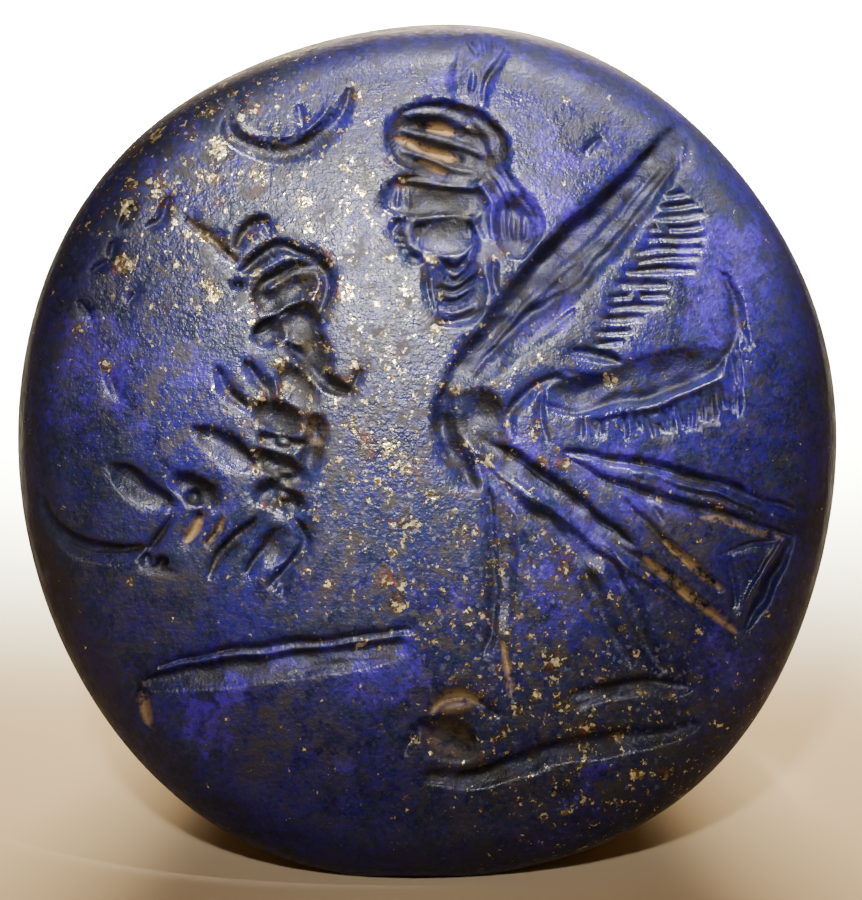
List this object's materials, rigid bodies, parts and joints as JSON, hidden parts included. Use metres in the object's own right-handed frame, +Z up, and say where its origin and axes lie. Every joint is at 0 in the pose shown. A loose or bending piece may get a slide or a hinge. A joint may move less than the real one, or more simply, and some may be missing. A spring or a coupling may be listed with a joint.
{
  "type": "conical stamp seal",
  "caption": "Conical stamp seal of dark blue stone with a slightly domed engraved face, a rounded narrow end and a cross-drilled cord hole, lying on its flank.",
  "frame": {"origin": "middle of the box's underside, on the surface that the seal lies on", "axes": "+X to the right of the engraved face, -Y to the front where the face looks, +Z up; the face leans back with the flank's slope"},
  "size_m": [0.0172, 0.0244, 0.0175],
  "materials": {
    "lapis": "polished lapis lazuli with gold-coloured flecks, worn"
  },
  "bodies": {
    "root": {"seal_body": "lapis"}
  },
  "joints": []
}
